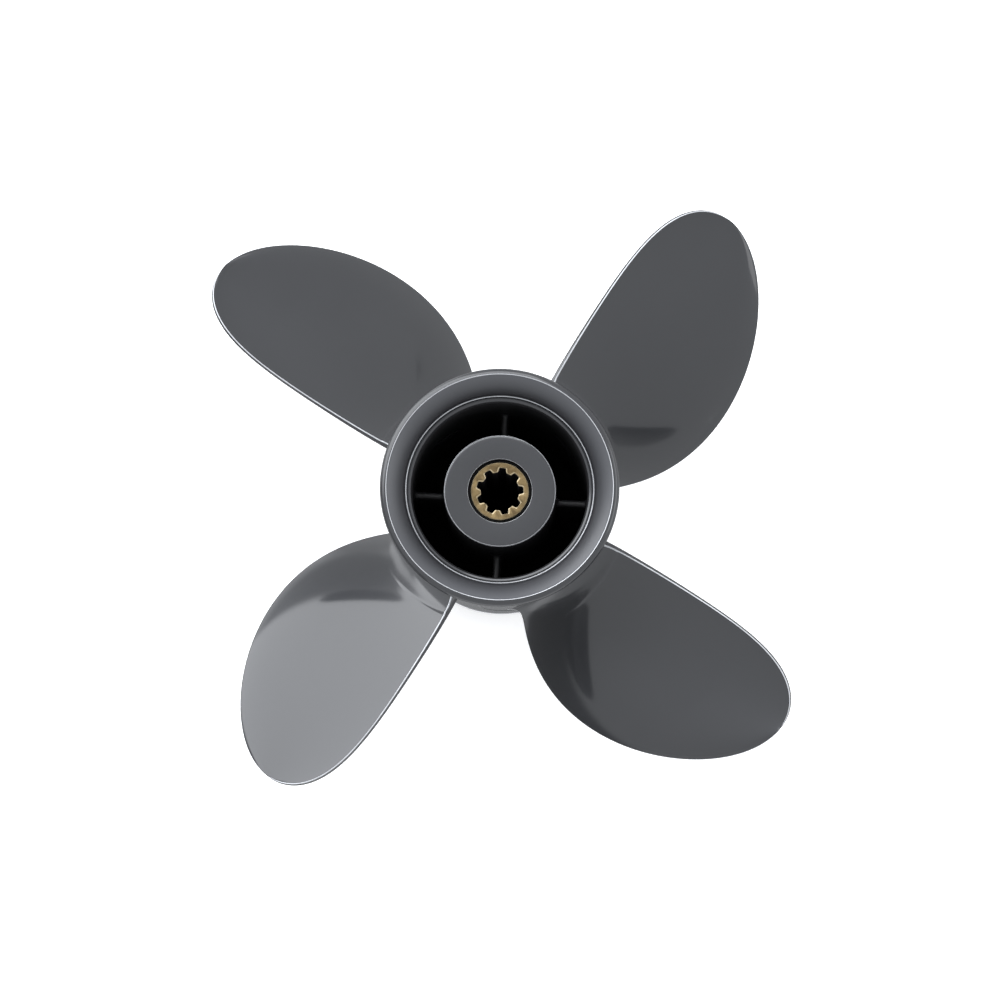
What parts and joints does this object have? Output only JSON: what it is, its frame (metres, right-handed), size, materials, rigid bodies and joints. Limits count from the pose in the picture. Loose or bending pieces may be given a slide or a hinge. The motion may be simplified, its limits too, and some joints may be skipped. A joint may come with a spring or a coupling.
{
  "type": "outboard motor propeller",
  "caption": "Right-hand multi-blade boat propeller with a through-hub exhaust, a flared aft ring and a rubber-mounted splined sleeve.",
  "frame": {"origin": "on the shaft axis, at the flat forward end on which the propeller stands", "axes": "+Z along the shaft axis towards the aft end with the flared ring; +X through the middle of the root of blade_1"},
  "size_m": [0.2316, 0.2316, 0.0865],
  "materials": {
    "casting_paint": "satin",
    "rubber": "matte",
    "brass": "satin"
  },
  "bodies": {
    "root": {"outer_hub": "casting_paint", "flared_ring": "casting_paint", "forward_collar": "casting_paint", "inner_hub": "casting_paint", "rib_1": "casting_paint", "rib_2": "casting_paint", "rib_3": "casting_paint", "rib_4": "casting_paint", "blade_1": "casting_paint", "blade_2": "casting_paint", "blade_3": "casting_paint", "blade_4": "casting_paint", "rubber_bushing": "rubber", "splined_sleeve": "brass"}
  },
  "joints": []
}
